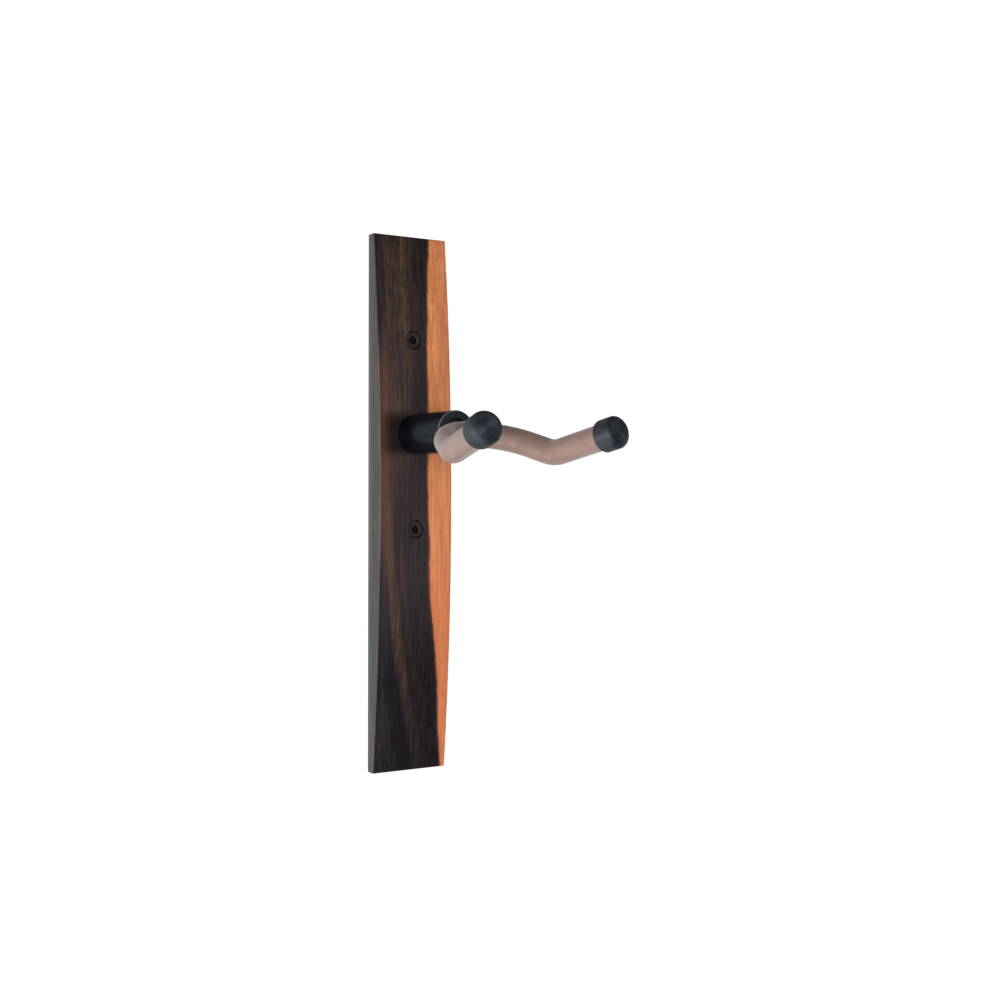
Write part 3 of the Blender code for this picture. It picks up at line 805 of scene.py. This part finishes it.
def make_sleeve(name, side, material):
    """The soft covering of one arm, slightly rounded where the two meet, and cut for the hub."""
    points = arm_line(side, CAP_END_THICKNESS + 0.3 * MM)
    tangents = line_tangents(points)
    tangents[0] = Vector((side, 0, 0))
    points[0].x = side * SLEEVE_GAP
    roll = 0.35 * MM
    bm = bmesh.new()
    end, along = points[0], tangents[0]
    rings = [add_ring(bm, end, along, SLEEVE_RADIUS - roll, SLEEVE_SIDES),
             add_ring(bm, end + along * roll * 0.3, along, SLEEVE_RADIUS - roll * 0.3,
                      SLEEVE_SIDES),
             add_ring(bm, end + along * roll, along, SLEEVE_RADIUS, SLEEVE_SIDES)]
    rings += add_rings(bm, points[2:], tangents[2:], SLEEVE_RADIUS, SLEEVE_SIDES)
    rings += add_rings(bm, points[::-1], tangents[::-1], ROD_RADIUS + PLAY, SLEEVE_SIDES)
    bridge_rings(bm, rings + rings[:1])
    sleeve = finish_mesh(f"{name}_arm_sleeve", bm, material, "yoke", f"{name}_sleeve")
    low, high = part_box("hub")
    radius = high.x + 0.25 * MM
    back, front = high.y + 1 * MM, low.y - 0.2 * MM
    notch = [(0, back), (radius, back), (radius, front), (0, front)]
    cut(sleeve, turned(notch, 64, height=AXIS_HEIGHT))


def smooth_cap_outline(edge, dome, lip):
    """The outside of a cap without its ridges: a domed face, a rounded edge and a wall."""
    face_end = CAP_RADIUS - edge
    face_steps, edge_steps, wall_steps = 48, 26, 44
    outline = [(face_end * i / face_steps, dome * (i / face_steps) ** 2)
               for i in range(face_steps + 1)]
    outline += arc_points((face_end, edge + dome), edge, -90, 0, edge_steps)[1:]
    wall_start = edge + dome
    wall_end = CAP_LENGTH - lip
    outline += [(CAP_RADIUS, wall_start + (wall_end - wall_start) * i / wall_steps)
                for i in range(1, wall_steps + 1)]
    return outline


def cap_profile():
    """A cap's (radius, y) outline: fine ridges over its outside, a rolled lip and its bore."""
    lip = 0.7 * MM
    pitch = 0.95 * MM
    ridge = 0.16 * MM
    smooth = smooth_cap_outline(2.6 * MM, 0.25 * MM, lip)
    ridged = [smooth[0]]
    travelled = 0.0
    for before, point, after in zip(smooth, smooth[1:], smooth[2:]):
        travelled += math.dist(before, point)
        run = (after[0] - before[0], after[1] - before[1])
        length = math.hypot(*run)
        depth = ridge * (0.5 - 0.5 * math.cos(2 * math.pi * travelled / pitch))
        ridged.append((point[0] - depth * run[1] / length, point[1] + depth * run[0] / length))
    inner = SLEEVE_RADIUS + PLAY
    easing = 0.3 * MM
    ridged += arc_points((CAP_RADIUS - lip, CAP_LENGTH - lip), lip, 0, 90, 6)
    ridged += [(inner + easing, CAP_LENGTH), (inner, CAP_LENGTH - easing),
               (inner, CAP_END_THICKNESS), (0.0, CAP_END_THICKNESS)]
    return ridged


def make_cap(name, side, material):
    """A rubber cap, turned along Y and then moved on to its arm's tip."""
    bm = turned(cap_profile(), 112)
    outward = YOKE_TIP - YOKE_ELBOW
    outward.x *= side
    turn = Vector((0, -1, 0)).rotation_difference(outward).to_matrix()
    bmesh.ops.rotate(bm, verts=bm.verts, cent=(0, 0, 0), matrix=turn)
    bmesh.ops.translate(bm, verts=bm.verts, vec=(side * YOKE_TIP.x, YOKE_TIP.y, YOKE_TIP.z))
    finish_mesh(f"{name}_cap", bm, material, "yoke", f"{name}_end_cap")


# ---------------------------------------------------------------- stage

def make_floor():
    """A plain pale floor, well below the wall-hung object, bright in reflections behind it."""
    bm = bmesh.new()
    bmesh.ops.create_grid(bm, x_segments=1, y_segments=1, size=FLOOR_HALF_SIDE)
    floor = plain_object("floor", bm)
    floor.location.z = FLOOR_HEIGHT
    s = Shader("floor")
    _, y, _ = s.split(s.place)
    glossy = s.add("ShaderNodeLightPath").outputs["Is Glossy Ray"]
    mirrored = s.product(glossy, s.remap(y, 0.1, 0.6))
    s.set(Base_Color=(0.20, 0.20, 0.20, 1.0), Roughness=0.9, Emission_Color=(1.0, 1.0, 1.0, 1.0))
    s.strength(1.0, mirrored, s.principled.inputs["Emission Strength"])
    floor.data.materials.append(s.material)


def make_world():
    """A white room: bright behind the object, dimmer overhead and on the camera's side."""
    world = bpy.data.worlds.new("studio")
    bpy.context.scene.world = world
    world.use_nodes = True
    nodes = Nodes(world.node_tree)
    background = world.node_tree.nodes["Background"]
    _, y, z = nodes.split(nodes.add("ShaderNodeTexCoord").outputs["Generated"])
    towards = nodes.remap(y, -0.1, 0.5, ROOM_FRONT, ROOM_BACK, smooth=True)
    falling = nodes.remap(z, 0.15, 0.75, 1.0, 0.3, smooth=True)
    nodes.fill(background, Color=(1.0, 1.0, 1.0, 1.0))
    nodes.strength(ROOM_SEEN, nodes.product(towards, falling), background.inputs["Strength"])


def make_light(name, place, size, power):
    data = bpy.data.lights.new(name, "AREA")
    data.shape = "DISK"
    data.size = size
    data.energy = power
    light = bpy.data.objects.new(name, data)
    bpy.context.scene.collection.objects.link(light)
    light.location = place
    light.visible_camera = False
    light.rotation_euler = (LIGHT_TARGET - Vector(place)).to_track_quat("-Z", "Y").to_euler()


def make_camera():
    forward = Vector((math.sin(CAMERA_AZIMUTH), math.cos(CAMERA_AZIMUTH), 0))
    right = Vector((math.cos(CAMERA_AZIMUTH), -math.sin(CAMERA_AZIMUTH), 0))
    data = bpy.data.cameras.new("camera")
    data.sensor_width = SENSOR_WIDTH
    data.lens = CAMERA_LENS
    camera = bpy.data.objects.new("camera", data)
    bpy.context.scene.collection.objects.link(camera)
    camera.location = -CAMERA_DISTANCE * forward + CAMERA_RIGHT * right
    camera.location.z = CAMERA_UP
    level = Euler((math.pi / 2, 0, -CAMERA_AZIMUTH)).to_matrix()
    camera.rotation_euler = (level @ Matrix.Rotation(CAMERA_ROLL, 3, "Z")).to_euler()
    bpy.context.scene.camera = camera


# ---------------------------------------------------------------- the scene

def make_materials():
    """Each of the record's material slots, by name."""
    return {
        "wood": wood_material(),
        "black_metal": black_metal_material(),
        "steel": steel_material("steel", (0.36, 0.36, 0.37), (0.55, 0.55, 0.56), 0.26, 0.42),
        "dark_screw": screw_material(),
        "nylon": nylon_material("nylon", (0.014, 0.014, 0.015), (0.024, 0.024, 0.026)),
        "white_nylon": nylon_material("white_nylon", (0.66, 0.65, 0.60), (0.76, 0.75, 0.71)),
        "sleeve": sleeve_material(),
        "cap": cap_material(),
    }


def dress_cad_nodes(materials):
    """Give every CAD node that stays its own finish, by the record's slots."""
    slots = {part["node"]: part["material_slot"] for part in frame["record"]["subparts"]}
    for name, node in frame["nodes"].items():
        node.data.materials.clear()
        node.data.materials.append(materials[slots[name]])


def build():
    make_camera()
    make_floor()
    make_world()
    for light in LIGHTS:
        make_light(*light)
    bpy.context.scene.view_settings.view_transform = "Standard"
    materials = make_materials()
    dress_cad_nodes(materials)
    make_board(materials["wood"])
    make_wall_screw("upper", SCREW_SPACING, materials["dark_screw"])
    make_wall_screw("lower", -SCREW_SPACING, materials["dark_screw"])
    make_mounting_bolt(materials["dark_screw"])
    make_tube(materials["black_metal"])
    make_hub(materials["black_metal"])
    for name, side in (("left", -1), ("right", 1)):
        make_sleeve(name, side, materials["sleeve"])
        make_cap(name, side, materials["cap"])


build()
